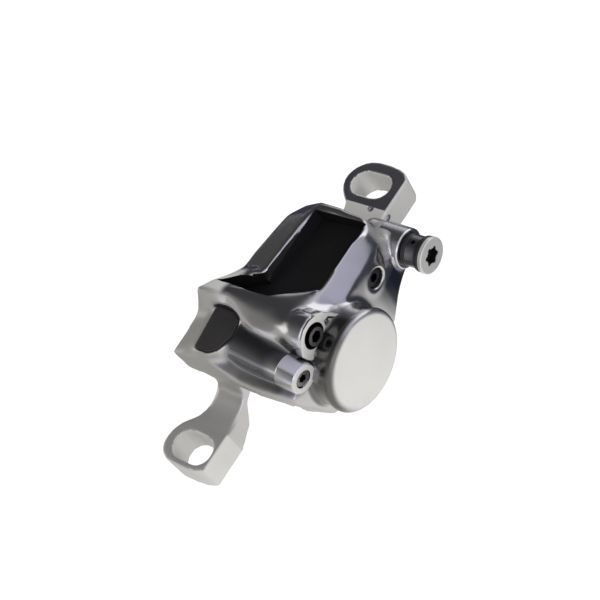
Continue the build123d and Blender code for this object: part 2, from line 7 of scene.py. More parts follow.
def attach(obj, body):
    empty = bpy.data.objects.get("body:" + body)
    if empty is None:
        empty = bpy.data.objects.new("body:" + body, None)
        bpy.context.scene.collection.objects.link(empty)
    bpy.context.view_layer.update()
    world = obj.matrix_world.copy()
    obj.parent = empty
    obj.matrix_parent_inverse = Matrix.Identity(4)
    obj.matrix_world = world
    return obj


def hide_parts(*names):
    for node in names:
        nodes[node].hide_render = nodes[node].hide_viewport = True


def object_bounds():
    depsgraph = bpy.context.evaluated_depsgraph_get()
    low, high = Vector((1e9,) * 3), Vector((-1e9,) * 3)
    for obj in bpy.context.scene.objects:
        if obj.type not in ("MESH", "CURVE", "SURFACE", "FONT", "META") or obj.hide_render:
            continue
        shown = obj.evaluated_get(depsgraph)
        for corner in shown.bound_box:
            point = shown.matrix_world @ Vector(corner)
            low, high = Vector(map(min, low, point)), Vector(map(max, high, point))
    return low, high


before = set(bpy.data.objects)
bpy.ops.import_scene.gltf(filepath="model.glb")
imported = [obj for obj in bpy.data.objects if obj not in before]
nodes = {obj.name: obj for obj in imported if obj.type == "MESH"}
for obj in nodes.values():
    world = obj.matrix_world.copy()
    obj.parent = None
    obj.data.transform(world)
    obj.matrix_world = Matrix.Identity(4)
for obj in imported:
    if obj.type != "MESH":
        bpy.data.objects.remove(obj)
cadBox = [list(corner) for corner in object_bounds()]
mm = 0.001
mergeReach = 0.001 * mm  # vertices nearer than this become one
levelSlack = 0.01 * mm  # how near its level an edge has to lie to be picked
roundSteps = 96  # sides of a turned form
print("frame loaded,", len(nodes), "nodes")

# places that several pieces share, in millimetres: axes along y as x and z, and the crossover ridge
axes = {"bore": (-4.3, 7.4), "pin": (-7.9, 20.7), "port": (23.8, 7.9), "screw": (12.7, 11.8)}
ridge = {"start": (-15.9, -21.7, 16.3), "root": (-13.6, 1.5, 17.4)}
bleedEnd = Vector(ridge["start"])
ridgeWay = (Vector(ridge["root"]) - bleedEnd).normalized()
bleedFace = bleedEnd + ridgeWay * 0.4  # face of the bleed screw, a little inside its boss
outwards = (0, -1, 0)  # the side that the caps and screws face


# small helpers for working the way one does by hand

def deselectAll():
    if bpy.context.object and bpy.context.object.mode != "OBJECT":
        bpy.ops.object.mode_set(mode="OBJECT")
    bpy.ops.object.select_all(action="DESELECT")


def makeActive(piece):
    deselectAll()
    piece.select_set(True)
    bpy.context.view_layer.objects.active = piece


def linkNew(name, data):  # a new object in the scene
    piece = bpy.data.objects.new(name, data)
    bpy.context.scene.collection.objects.link(piece)
    return piece


def editAll(piece):  # into edit mode with everything selected
    makeActive(piece)
    bpy.ops.object.mode_set(mode="EDIT")
    bpy.ops.mesh.select_all(action="SELECT")


def applyPlace(piece):
    makeActive(piece)
    bpy.ops.object.transform_apply(location=True, rotation=True, scale=True)


def smoothShade(piece, degrees):
    makeActive(piece)
    bpy.ops.object.shade_smooth_by_angle(angle=math.radians(degrees))


def useModifier(piece, kind, **settings):
    makeActive(piece)
    modifier = piece.modifiers.new(kind.title(), kind)
    for key, value in settings.items():
        setattr(modifier, key, value)
    bpy.ops.object.modifier_apply(modifier=modifier.name)


def cutAway(piece, cutter, finish):  # the cut faces take the cutter's finish
    cutter.data.materials.clear()
    cutter.data.materials.append(finish)
    useModifier(piece, "BOOLEAN", operation="DIFFERENCE", object=cutter, solver="MANIFOLD",
                material_mode="TRANSFER")
    bpy.data.objects.remove(cutter)


def bevelEdges(piece, isPicked, width, steps):  # rounds each edge of the active piece that isPicked takes
    bpy.context.tool_settings.mesh_select_mode = (False, True, False)
    for edge in piece.data.edges:
        edge.select = isPicked(*(piece.data.vertices[i].co for i in edge.vertices))
    bpy.ops.object.mode_set(mode="EDIT")
    bpy.ops.mesh.bevel(offset=width * mm, segments=steps)
    bpy.ops.object.mode_set(mode="OBJECT")


def mergedCopy(name, node):  # a copy of a node's mesh, its loose triangles joined
    piece = linkNew(name, nodes[node].data.copy())
    editAll(piece)
    bpy.ops.mesh.remove_doubles(threshold=mergeReach)
    bpy.ops.object.mode_set(mode="OBJECT")
    piece.data.materials.clear()
    return piece


def roundBar(name, axis, start, end, radius):  # a round bar along y, between two values of y
    deselectAll()
    x, z = axis
    bpy.ops.mesh.primitive_cone_add(
        vertices=roundSteps, radius1=radius * mm, radius2=radius * mm, depth=(end - start) * mm,
        location=(x * mm, (start + end) / 2 * mm, z * mm), rotation=(-math.pi / 2, 0, 0))
    bar = bpy.context.object
    bar.name = name
    applyPlace(bar)
    return bar


def prism(name, corners, low, high, along="Z"):  # an outline pushed through along one axis
    mesh = bpy.data.meshes.new(name)
    if along == "Z":
        points = [(a * mm, b * mm, low * mm) for a, b in corners]
        way = (0, 0, (high - low) * mm)
    else:
        points = [(a * mm, low * mm, b * mm) for a, b in corners]
        way = (0, (high - low) * mm, 0)
    mesh.from_pydata(points, [], [list(range(len(points)))])
    block = linkNew(name, mesh)
    editAll(block)
    bpy.ops.mesh.extrude_region_move(TRANSFORM_OT_translate={"value": way})
    bpy.ops.mesh.select_all(action="SELECT")
    bpy.ops.mesh.normals_make_consistent(inside=False)
    bpy.ops.object.mode_set(mode="OBJECT")
    return block


def turned(name, profile, centre, axis, shadeAngle=35):  # a profile of radius and height, spun round an axis
    mesh = bpy.data.meshes.new(name)
    points = [(radius * mm, 0, height * mm) for radius, height in profile]
    mesh.from_pydata(points, [(i, i + 1) for i in range(len(points) - 1)], [])
    ring = linkNew(name, mesh)
    editAll(ring)
    bpy.ops.mesh.spin(steps=roundSteps, angle=2 * math.pi, center=(0, 0, 0), axis=(0, 0, 1))
    bpy.ops.mesh.select_all(action="SELECT")
    bpy.ops.mesh.remove_doubles(threshold=mergeReach / 2)
    bpy.ops.mesh.normals_make_consistent(inside=False)
    bpy.ops.object.mode_set(mode="OBJECT")
    ring.rotation_mode = "QUATERNION"
    ring.rotation_quaternion = Vector(axis).to_track_quat("Z", "Y")
    ring.location = Vector(centre) * mm
    applyPlace(ring)
    smoothShade(ring, shadeAngle)
    return ring


# shader nodes: an input takes a value, or the output of another node

def newNode(tree, kind, inputs=None, **settings):
    node = tree.nodes.new("ShaderNode" + kind)
    for name, value in settings.items():
        setattr(node, name, value)
    for name, value in (inputs or {}).items():
        if isinstance(value, bpy.types.NodeSocket):
            tree.links.new(value, node.inputs[name])
        else:
            node.inputs[name].default_value = value
    return node


def objectPlace(tree):
    return newNode(tree, "TexCoord").outputs["Object"]


def coordinate(tree, letter, kind="Object"):  # one coordinate of the place or of the normal
    source = newNode(tree, "TexCoord").outputs[kind]
    return newNode(tree, "SeparateXYZ", {0: source}).outputs[letter]


def inMetres(point):
    return [value * mm for value in point]


def vectorStep(tree, operation, first, second=None):  # one step of vector arithmetic
    inputs = {0: first} if second is None else {0: first, 1: second}
    step = newNode(tree, "VectorMath", inputs, operation=operation)
    return step.outputs["Value" if operation in ("LENGTH", "DOT_PRODUCT") else "Vector"]


def together(tree, first, *others):  # product of masks
    result = first
    for mask in others:
        result = newNode(tree, "Math", {0: result, 1: mask}, operation="MULTIPLY").outputs["Value"]
    return result


def fadeAcross(tree, source, low, high):  # smooth step along a value, also downwards
    fade = newNode(tree, "MapRange", {"Value": source, "From Min": low, "From Max": high},
                   interpolation_type="SMOOTHSTEP")
    return fade.outputs["Result"]


def fadeMask(tree, measure, low, high):
    # measure: x, y or z of the place, normalX or normalZ, distance from the ridge, or from an axis along y
    if measure in ("x", "y", "z"):
        return fadeAcross(tree, coordinate(tree, measure.upper()), low * mm, high * mm)
    if measure in ("normalX", "normalZ"):
        return fadeAcross(tree, coordinate(tree, measure[-1], "Normal"), low, high)
    if measure == "ridge":
        shift = vectorStep(tree, "SUBTRACT", objectPlace(tree), inMetres(ridge["start"]))
        away = vectorStep(tree, "CROSS_PRODUCT", shift, ridgeWay)
    else:
        shift = vectorStep(tree, "SUBTRACT", objectPlace(tree), inMetres((measure[0], 0, measure[1])))
        away = vectorStep(tree, "MULTIPLY", shift, (1, 0, 1))
    return fadeAcross(tree, vectorStep(tree, "LENGTH", away), low * mm, high * mm)


# node groups that several materials share

def newGroup(name, number, usual, result):  # reads a vector and one number, puts out one value
    group = bpy.data.node_groups.new(name, "ShaderNodeTree")
    group.interface.new_socket("Vector", in_out="INPUT", socket_type="NodeSocketVector")
    socket = group.interface.new_socket(number, in_out="INPUT", socket_type="NodeSocketFloat")
    socket.default_value = usual
    group.interface.new_socket(result, in_out="OUTPUT", socket_type="NodeSocketFloat")
    return group, group.nodes.new("NodeGroupInput"), group.nodes.new("NodeGroupOutput")


def makeSmudges():  # broad cloudy handling marks, 0 to 1
    group, entry, leave = newGroup("handlingSmudges", "Scale", 90.0, "Mask")
    cloud = newNode(group, "TexNoise", {"Vector": entry.outputs["Vector"], "Scale": entry.outputs["Scale"],
                                        "Detail": 4.0, "Roughness": 0.55})
    spread = newNode(group, "MapRange", {"Value": cloud.outputs["Fac"], "From Min": 0.35, "From Max": 0.68})
    group.links.new(spread.outputs["Result"], leave.inputs["Mask"])
    return group


def makeGrain():  # fine stipple of a blasted or cast surface
    group, entry, leave = newGroup("fineGrain", "Scale", 2500.0, "Height")
    pattern = {"Vector": entry.outputs["Vector"], "Scale": entry.outputs["Scale"]}
    fine = newNode(group, "TexNoise", {**pattern, "Detail": 3.0, "Roughness": 0.7})
    pits = newNode(group, "TexVoronoi", pattern)
    both = newNode(group, "Math", {0: pits.outputs["Distance"], 1: 0.5, 2: fine.outputs["Fac"]},
                   operation="MULTIPLY_ADD")
    group.links.new(both.outputs["Value"], leave.inputs["Height"])
    return group


def makeToolMarks():  # concentric marks of turning, round the line through the vector's origin along y
    group, entry, leave = newGroup("turningMarks", "Rings", 2200.0, "Height")
    flat = vectorStep(group, "MULTIPLY", entry.outputs["Vector"], (1, 0, 1))
    spin = newNode(group, "Math", {0: vectorStep(group, "LENGTH", flat), 1: entry.outputs["Rings"]},
                   operation="MULTIPLY")
    wave = newNode(group, "TexNoise", {"W": spin.outputs["Value"], "Detail": 2.0, "Scale": 1.0},
                   noise_dimensions="1D")
    group.links.new(wave.outputs["Fac"], leave.inputs["Height"])
    return group


smudgeGroup = makeSmudges()
grainGroup = makeGrain()
markGroup = makeToolMarks()

# painted shade inside a screw's socket: it starts and is full at these depths below the face, in this colour
socketShade = {"from": 0.05, "full": 0.30, "tone": (0.012, 0.012, 0.012)}  # depths below a screw's face
marksDepth = 0.02


# painted shade in a screw's socket
def recessShade(tree, place, recess):  # 1 inside a screw's socket, 0 on the face round it
    centre, axis, radius = recess
    shift = vectorStep(tree, "SUBTRACT", place, inMetres(centre))
    height = vectorStep(tree, "DOT_PRODUCT", shift, axis)
    deep = newNode(tree, "MapRange", {"Value": height, "From Min": -socketShade["from"] * mm,
                                      "From Max": -socketShade["full"] * mm})
    near = newNode(tree, "Math", {0: vectorStep(tree, "LENGTH", shift), 1: radius * mm},
                   operation="LESS_THAN")
    return together(tree, deep.outputs["Result"], near.outputs["Value"])


def socketAt(axis, face, radius):  # the recess of a screw whose face is square to y
    return (axis[0], face, axis[1]), outwards, radius


def makeFinish(name, colours, metallic, roughness, smudges, grain=None, marks=None, recess=None,
               specular=0.5):
    # colours and roughness run from clean to handled, or the second colour is the painted shade inside the
    # recess
    # grain is scale, strength and depth, marks are axis, rings and strength
    material = bpy.data.materials.new(name)
    material.use_nodes = True
    tree = material.node_tree
    shader = tree.nodes["Principled BSDF"]
    place = objectPlace(tree)
    smudge = newNode(tree, "Group", {"Vector": place, "Scale": smudges}, node_tree=smudgeGroup)
    handled = smudge.outputs["Mask"]
    share = recessShade(tree, place, recess) if recess else handled
    tint = newNode(tree, "Mix", {0: share, 6: (*colours[0], 1), 7: (*colours[1], 1)}, data_type="RGBA")
    rough = newNode(tree, "MapRange", {"Value": handled, "To Min": roughness[0], "To Max": roughness[1]})
    if marks:
        axis, rings, strength = marks
        depth = marksDepth
        centred = newNode(tree, "Mapping", {"Vector": place, "Location": (-axis[0] * mm, 0, -axis[1] * mm)})
        relief = newNode(tree, "Group", {"Vector": centred.outputs["Vector"], "Rings": rings},
                         node_tree=markGroup)
    else:
        scale, strength, depth = grain
        relief = newNode(tree, "Group", {"Vector": place, "Scale": scale}, node_tree=grainGroup)
    bump = newNode(tree, "Bump", {"Strength": strength, "Distance": depth * mm,
                                  "Height": relief.outputs["Height"]})
    tree.links.new(tint.outputs[2], shader.inputs["Base Color"])
    tree.links.new(rough.outputs["Result"], shader.inputs["Roughness"])
    tree.links.new(bump.outputs["Normal"], shader.inputs["Normal"])
    shader.inputs["Metallic"].default_value = metallic
    shader.inputs["Specular IOR Level"].default_value = specular
    return material


def blendFinish(material, fades, colour, metallic, roughness):  # another finish where all the fades meet
    tree = material.node_tree
    shader = tree.nodes["Principled BSDF"]
    mask = together(tree, *(fadeMask(tree, *fade) for fade in fades))
    changes = {"Base Color": (*colour, 1), "Metallic": metallic, "Roughness": roughness}
    for name, value in changes.items():
        socket = shader.inputs[name]
        before = socket.links[0].from_socket if socket.is_linked else socket.default_value
        kind, first, second, result = ("RGBA", 6, 7, 2) if name == "Base Color" else ("FLOAT", 2, 3, 0)
        mix = newNode(tree, "Mix", {0: mask, first: before, second: value}, data_type=kind)
        tree.links.new(mix.outputs[result], socket)


# the polished casting, and the places where its look changes, several of them painted light and shade: fades,
# colour, metallic, roughness
polished = makeFinish("polishedAnodised", ((0.55, 0.545, 0.555), (0.51, 0.505, 0.515)), 1.0, (0.16, 0.22),
                      60.0, grain=(700.0, 0.03, 0.02))
polishedPlaces = [
    # satin end face
    ([("normalX", -0.35, -0.8), ("x", -13, -16), ("ridge", 3.5, 5.5)], (0.44, 0.43, 0.41), 0.6, 0.40),
    # shelf beyond the pocket, then a painted reflection: the strip of the pocket's far lip painted pale
    ([("y", 2.0, 4.5), ("x", -8.0, -10.0), ("normalZ", 0.1, 0.4)], (0.42, 0.41, 0.39), 0.4, 0.42),
    ([("y", 1.5, 3.5), ("x", 1.0, -1.0), ("x", -9.5, -7.5), ("z", 17.0, 18.5), ("normalZ", 0.2, 0.5)],
     (0.80, 0.79, 0.765), 0.3, 0.45),
    # painted shade: the hollows beside the ridge are darkened
    ([("ridge", 3.1, 3.7), ("ridge", 6.2, 4.4), ("y", 0.5, -3.0), ("y", -20.4, -19.4)],
     (0.20, 0.20, 0.215), 1.0, 0.18),
    # painted reflections: beside the hose boss the wall is painted a duller grey above and a dark bluish grey
    # below
    ([("x", 17.5, 19.5), ("y", -10.5, -12.5), ("z", 9.0, 11.5), ("normalX", 0.1, 0.45)],
     (0.44, 0.435, 0.415), 0.6, 0.4),
    ([("x", 12.6, 14.2), ("y", -15.0, -17.0), ("z", 9.0, 7.0)], (0.17, 0.17, 0.22), 1.0, 0.2),
    # satin neck of the lower ear
    ([("x", -22.0, -25.5), ("z", 15.0, 12.0)], (0.56, 0.55, 0.535), 0.6, 0.40),
    # painted shade: the upper left side of the boss under the bore cap is darkened
    ([(axes["bore"], 12.6, 11.8), ("y", -17.2, -18.6), ("x", 3.0, -1.0), ("z", 0.5, 5.0)],
     (0.16, 0.157, 0.155), 1.0, 0.22),
]
for change in polishedPlaces:
    blendFinish(polished, *change)

# turned rims, with a painted lavender reflection in a band on top of the boss of the bleed screw
rimPolish = makeFinish("rimPolish", ((0.60, 0.60, 0.63), (0.56, 0.56, 0.585)), 1.0, (0.22, 0.28), 60.0,
                       grain=(700.0, 0.03, 0.02))
blendFinish(rimPolish, [("x", -5.0, -9.0), ("normalX", -0.42, -0.25), ("normalX", 0.60, 0.40)],
            (0.62, 0.62, 0.74), 0.35, 0.40)

# the cap: satin, with a polished rim, and painted shade darkening the rim on its upper left
capSatin = makeFinish("capSatin", ((0.74, 0.735, 0.715), (0.70, 0.695, 0.68)), 0.35, (0.42, 0.5), 60.0,
                      grain=(2400.0, 0.2, 0.02))
blendFinish(capSatin, [(axes["bore"], 10.2, 11.45)], (0.42, 0.415, 0.42), 1.0, 0.22)
blendFinish(capSatin, [(axes["bore"], 9.6, 11.3), ("x", -2.0, -7.0), ("z", -1.0, 6.0)],
            (0.13, 0.128, 0.12), 1.0, 0.3)

# the hose bolt, with painted shade behind its head
boltSilver = makeFinish("boltSilver", ((0.72, 0.71, 0.69), socketShade["tone"]), 0.45, (0.28, 0.36), 200.0,
                        marks=(axes["port"], 9000.0, 0.25), recess=socketAt(axes["port"], -25.9, 3.2))
blendFinish(boltSilver, [("y", -23.9, -23.6)], (0.22, 0.215, 0.225), 1.0, 0.3)

# painted shade: near black on the walls of the seats that the pin, its flange collar and the plug screw sit
# in
seatShadeBlack = makeFinish("seatShadeBlack", ((0.018, 0.017, 0.016), (0.012, 0.012, 0.012)), 0.0, (0.35, 0.5),
                        200.0, grain=(1800.0, 0.1, 0.02))
# pocket faces near black: a dark finish with the shade deep in the pocket painted in
pocketShadeBlack = makeFinish("pocketShadeBlack", ((0.008, 0.008, 0.009), (0.004, 0.004, 0.005)), 0.0, (0.5, 0.65),
                         120.0, grain=(1500.0, 0.1, 0.03), specular=0.25)
# painted light: the two ear tops are one machined face, given a darker bluish tone on the upper ear and a
# paler grey one on the lower
earTopUpper = makeFinish("earTopUpper", ((0.42, 0.415, 0.45), (0.37, 0.365, 0.40)), 1.0, (0.30, 0.38), 80.0,
                         grain=(3000.0, 0.10, 0.02))
earTopLower = makeFinish("earTopLower", ((0.52, 0.51, 0.50), (0.47, 0.46, 0.45)), 0.6, (0.40, 0.48), 80.0,
                         grain=(3000.0, 0.12, 0.02))
earSidePale = makeFinish("earSideBlasted", ((0.72, 0.71, 0.69), (0.67, 0.66, 0.64)), 0.3, (0.42, 0.5), 70.0,
                         grain=(2600.0, 0.25, 0.03))
blackRubber = makeFinish("blackRubber", ((0.010, 0.010, 0.011), (0.016, 0.015, 0.016)), 0.0, (0.28, 0.42),
                         300.0, grain=(1800.0, 0.1, 0.02))
plugCharcoal = makeFinish("plugCharcoal", ((0.032, 0.029, 0.030), (0.026, 0.024, 0.025)), 0.0, (0.6, 0.7),
                          150.0, grain=(2000.0, 0.3, 0.03), specular=0.3)
pinSteel = makeFinish("pinSteel", ((0.27, 0.26, 0.25), socketShade["tone"]), 1.0, (0.32, 0.42), 200.0,
                      marks=(axes["pin"], 9000.0, 0.2), recess=socketAt(axes["pin"], -21.7, 3.0))
bleedSteel = makeFinish("bleedSteel", ((0.22, 0.215, 0.21), socketShade["tone"]), 1.0, (0.28, 0.4), 250.0,
                        grain=(2500.0, 0.1, 0.01), recess=(bleedFace, -ridgeWay, 1.7))
plugScrewSteel = makeFinish("plugScrewSteel", ((0.07, 0.07, 0.072), socketShade["tone"]), 1.0, (0.25, 0.4),
                            250.0, grain=(2500.0, 0.1, 0.01), recess=socketAt(axes["screw"], -18.9, 1.3))
springSteel = makeFinish("springSteel", ((0.36, 0.355, 0.36), (0.30, 0.30, 0.30)), 1.0, (0.35, 0.45), 200.0,
                         grain=(1800.0, 0.1, 0.01))
platePaint = makeFinish("plateBlackPaint", ((0.012, 0.012, 0.013), (0.02, 0.02, 0.02)), 0.0, (0.45, 0.6),
                        150.0, grain=(1600.0, 0.2, 0.03), specular=0.3)
liningGrit = makeFinish("liningGrit", ((0.05, 0.045, 0.04), (0.10, 0.085, 0.07)), 0.0, (0.8, 0.9), 900.0,
                        grain=(1200.0, 0.6, 0.08), specular=0.2)
pistonTurned = makeFinish("pistonTurned", ((0.66, 0.66, 0.66), (0.58, 0.58, 0.58)), 1.0, (0.25, 0.35),
                          120.0, marks=(axes["bore"], 6000.0, 0.3))
insulatorResin = makeFinish("insulatorResin", ((0.06, 0.045, 0.035), (0.04, 0.03, 0.025)), 0.0, (0.5, 0.6),
                            200.0, grain=(1500.0, 0.2, 0.03))
print("finishes ready")

# body: the CAD body's own form, softened as a polished casting is, with its machined places cut crisp again
# a row such as ("x", -9.0, -12.0) is a smooth step from 0 at x -9 to 1 at x -12
casting = {
    "voxel": 0.38, "softFactor": 0.5, "polishTurns": 32, "machinedTurns": 3, "shadeAngle": 38,
    "pocketFloor": 18.6, "rimLow": 22.1, "fillDeeper": 1, "rimReach": 0.35, "cutTop": 30,
    "probeFrom": 60,
    "pocketFill": [(19.30, -3.37), (19.30, -16.59), (1.605, -16.59), (-4.815, -8.32), (-5.457, -3.96),
                   (-5.607, 8.32), (-1.926, 2.77), (0.428, -1.78)],
    "pocket": [(18.85, -3.50), (19.85, -16.15), (1.605, -16.59), (-4.815, -8.32), (-5.457, -3.96),
               (-5.35, 6.90), (-2.10, 2.60), (0.428, -1.78)],
    "saddle": [(15.5, 10.5), (16.5, 15.2), (21.0, 15.6), (24.2, 12.2), (23.8, 8.0)],
    "saddleFrom": -16.6, "saddleTo": -12.0,
    "fallAt": [("y", 4.8, 9.5), ("x", -10.5, -13.5), ("z", 16.0, 21.0)], "fallDown": 1.7, "fallBack": 1.1,
    "dipAt": [("y", 1.0, 7.0), ("x", 3.0, -3.0), ("x", -10.5, -6.5), ("z", 19.0, 22.0)], "dipDown": 0.45,
    "slimAlong": (2.0, 4.4, 14.0, 6.0), "slimRadius": (4.6, 3.6), "slimShare": 0.13,
    "slotAt": 37.0, "slotLevel": 4, "slotSize": (6.7, 10.5, 14), "slotRound": 3.24, "slotSteps": 14,
    "pits": [(30.9, -3.96, 7.6), (31.0, -8.2, 5.5)], "pitRadius": 0.8, "pinSeat": 2.95,
}

body = mergedCopy("caliperCasting", "body")
body.data.materials.append(polished)


def heightAbove(x, y):  # height of the casting's top under a point of the plan, in millimetres
    hit, place, normal, index = body.ray_cast(Vector((x, y, casting["probeFrom"])) * mm, Vector((0, 0, -1)))
    return place.z / mm if hit else casting["rimLow"]


# the hollow between the end wall and the hose boss is filled, as the casting flows from one to the other
saddle = prism("saddleFiller", casting["saddle"], casting["saddleFrom"], casting["saddleTo"], along="Y")
# the pocket is filled level with its rim, so that the polishing runs over it, and cut again afterwards
corners = casting["pocketFill"]
middle = Vector((sum(x for x, y in corners) / len(corners), sum(y for x, y in corners) / len(corners)))
filler = prism("pocketFiller", corners, casting["pocketFloor"] - casting["fillDeeper"], casting["rimLow"])
for vertex in filler.data.vertices:
    if vertex.co.z > casting["pocketFloor"] * mm:
        x, y = vertex.co.x / mm, vertex.co.y / mm
        away = (Vector((x, y)) - middle).normalized() * casting["rimReach"]
        vertex.co.z = heightAbove(x + away.x, y + away.y) * mm
makeActive(body)
filler.select_set(True)
saddle.select_set(True)
bpy.ops.object.join()
useModifier(body, "REMESH", mode="VOXEL", voxel_size=casting["voxel"] * mm, adaptivity=0.0)


def blend(value, low, high):  # smooth step from 0 at low to 1 at high, also downwards
    share = max(0.0, min(1.0, (value - low) / (high - low)))
    return share * share * (3 - 2 * share)


def measureOf(point, what):  # a coordinate, or the distance from an axis along y or from a place
    if isinstance(what, str):
        return getattr(point, what)
    if len(what) == 2:
        return math.hypot(point.x - what[0], point.z - what[1])
    return (point - Vector(what)).length


def weightAt(point, steps):  # product of smooth steps, each from 0, or from its fourth value, to 1
    weight = 1.0
    for what, low, high, *least in steps:
        start = least[0] if least else 0.0
        weight *= start + (1 - start) * blend(measureOf(point, what), low, high)
    return weight


def alongRidge(point):  # how far along the ridge, and the spoke from its line to the point
    along = (point - bleedEnd).dot(ridgeWay)
    return along, point - bleedEnd - ridgeWay * along


# the shelf falls away to the far flank beyond the plug, and so does the crest beyond the pocket
for vertex in body.data.vertices:
    point = vertex.co / mm
    fall = weightAt(point, casting["fallAt"])
    dip = weightAt(point, casting["dipAt"])
    vertex.co.z -= (casting["fallDown"] * fall + casting["dipDown"] * dip) * mm
    vertex.co.y += casting["fallBack"] * fall * mm
# the ridge is a little slimmer behind the boss of the bleed screw
slimFrom, slimFull, slimEnd, slimFade = casting["slimAlong"]
for vertex in body.data.vertices:
    along, spoke = alongRidge(vertex.co / mm)
    slim = blend(along, slimFrom, slimFull) * blend(along, slimEnd, slimFade)
    slim *= blend(spoke.length, *casting["slimRadius"])
    vertex.co -= spoke * casting["slimShare"] * slim * mm
print("casting remeshed,", len(body.data.polygons), "faces")

machined = {  # where the casting keeps its edges, and the share of polish there
    "earFrom": 29.5, "earBlend": 1.5, "capFrom": -22.0,
    "pinFrom": -20.0, "pinReach": 5.4, "pinPolish": 0.6,
    "portFrom": -15.5, "portFull": -18.5, "portReach": 5.2, "portPolish": 0.1,
    "bleedLength": 4.0, "bleedReach": 4.6, "bleedPolish": 0.4,
    "cavityX": (-17.0, 10.5), "cavityY": (-16.7, -3.3), "cavityTop": 18.4, "cavityPolish": 0.1,
}


def isWithin(value, limits):
    return limits[0] < value < limits[1]


def polishWeight(point):  # point in millimetres; 1 where the casting is hand polished, 0 where it is machined
    pastEar = abs(point.x) - machined["earFrom"] + machined["earBlend"]
    if pastEar > 2 * machined["earBlend"] or point.y < machined["capFrom"]:
        return 0.0
    if point.y < machined["pinFrom"] and measureOf(point, axes["pin"]) < machined["pinReach"]:
        return machined["pinPolish"]
    if point.y < machined["portFrom"] and measureOf(point, axes["port"]) < machined["portReach"]:
        fade = blend(point.y, machined["portFrom"], machined["portFull"])
        return 1 - (1 - machined["portPolish"]) * fade
    along, spoke = alongRidge(point)
    if along < machined["bleedLength"] and spoke.length < machined["bleedReach"]:
        return machined["bleedPolish"]
    inCavity = isWithin(point.x, machined["cavityX"]) and isWithin(point.y, machined["cavityY"])
    if inCavity and point.z < machined["cavityTop"]:
        return machined["cavityPolish"]
    return 1 - max(0.0, pastEar) / (2 * machined["earBlend"])


def polishBy(name, turns, weigh, least):  # a round of polishing, as strong at each point as weigh says
    group = body.vertex_groups.new(name=name)
    for vertex in body.data.vertices:
        weight = weigh(vertex.co / mm)
        if weight > least:
            group.add([vertex.index], weight, "REPLACE")
    useModifier(body, "SMOOTH", factor=casting["softFactor"], iterations=turns, vertex_group=name)


polishBy("polish", casting["polishTurns"], polishWeight, 0)
useModifier(body, "SMOOTH", factor=casting["softFactor"], iterations=casting["machinedTurns"])

fuller = [  # further rounds where a corner is fuller: name, turns, smooth steps
    ("shelfCorner", 70, [("y", 1.0, 4.5), ("x", -9.0, -12.0), ("z", 12.0, 16.0)]),
    ("pinBossSide", 60, [(axes["pin"], 9.4, 7.9), ("y", -9.0, -12.0), ("y", -20.8, -20.2, 0.5)]),
    ("saddle", 90, [("x", 13.5, 16.5), ("x", 29.0, 25.5), ("z", 5.0, 8.0), ("y", -18.6, -17.0),
                    ("y", -8.5, -11.0)]),
    ("belowRidge", 30, [("x", -8.0, -11.0), ("z", 15.5, 12.5), ("y", 4.0, 0.0), ("z", 3.0, 6.0),
                        ("x", -24.0, -21.0)]),
    ("wallCorner", 24, [((21.0, -15.5, 20.0), 6.0, 3.5)]),
]
for name, turns, steps in fuller:
    polishBy(name, turns, lambda point: weightAt(point, steps), 0.01)
print("casting polished")

# slots for the mounting bolts
slotHeight = casting["slotSize"][2]
for side in (-1, 1):
    deselectAll()
    place = (side * casting["slotAt"] * mm, 0, casting["slotLevel"] * mm)
    bpy.ops.mesh.primitive_cube_add(size=1, location=place)
    slotTool = bpy.context.object
    slotTool.scale = inMetres(casting["slotSize"])
    applyPlace(slotTool)
    bevelEdges(slotTool, lambda a, b: abs(a.z - b.z) > slotHeight / 2 * mm, casting["slotRound"],
               casting["slotSteps"])
    cutAway(body, slotTool, earSidePale)

# pocket, its cut faces near black with the shade deep in it painted in
cutAway(body, prism("pocketTool", casting["pocket"], casting["pocketFloor"], casting["cutTop"]), pocketShadeBlack)

# two small pits in the neck beside the hose boss
for place in casting["pits"]:
    deselectAll()
    bpy.ops.mesh.primitive_ico_sphere_add(subdivisions=3, radius=casting["pitRadius"] * mm,
                                          location=inMetres(place))
    cutAway(body, bpy.context.object, earTopUpper)

seats = [  # name, axis, from and to along y, radius, finish of the cut
    # the pin and plug screw seats take the near black of painted shade
    ("pinSeatTool", "pin", -22.0, -17.9, casting["pinSeat"], seatShadeBlack),
    ("screwSeatTool", "screw", -21.0, -17.3, 2.35, seatShadeBlack),
    ("portTool", "port", -23.7, -19.7, 5.6, polished),
    ("outerBoreTool", "bore", -25.2, -15.8, 9.1, pistonTurned),
    ("innerBoreTool", "bore", -4.2, 4.9, 9.1, pistonTurned),
]
for name, axis, start, end, radius, finish in seats:
    cutAway(body, roundBar(name, axes[axis], start, end, radius), finish)
print("casting machined,", len(body.data.polygons), "faces")

zones = {  # where the casting's faces take another finish
    "earFrom": 31.5, "earTop": 8.5, "flat": 0.9, "neckFrom": 23.4, "neckFront": -7.6, "neckEnd": 29,
    "neckTop": 12, "cavityTop": 22, "cavityProbe": 0.5, "cavityReach": 0.62,
}


def inPadCavity(point):  # within the outline that the pad plates slide in
    plate = nodes["outer_pad_plate"]
    level = (plate.matrix_world @ Vector(plate.bound_box[0])).y + zones["cavityProbe"] * mm
    probe = Vector((point.x * mm, level, point.z * mm))
    hit, place, normal, index = plate.closest_point_on_mesh(probe)
    return (place - probe).length < zones["cavityReach"] * mm


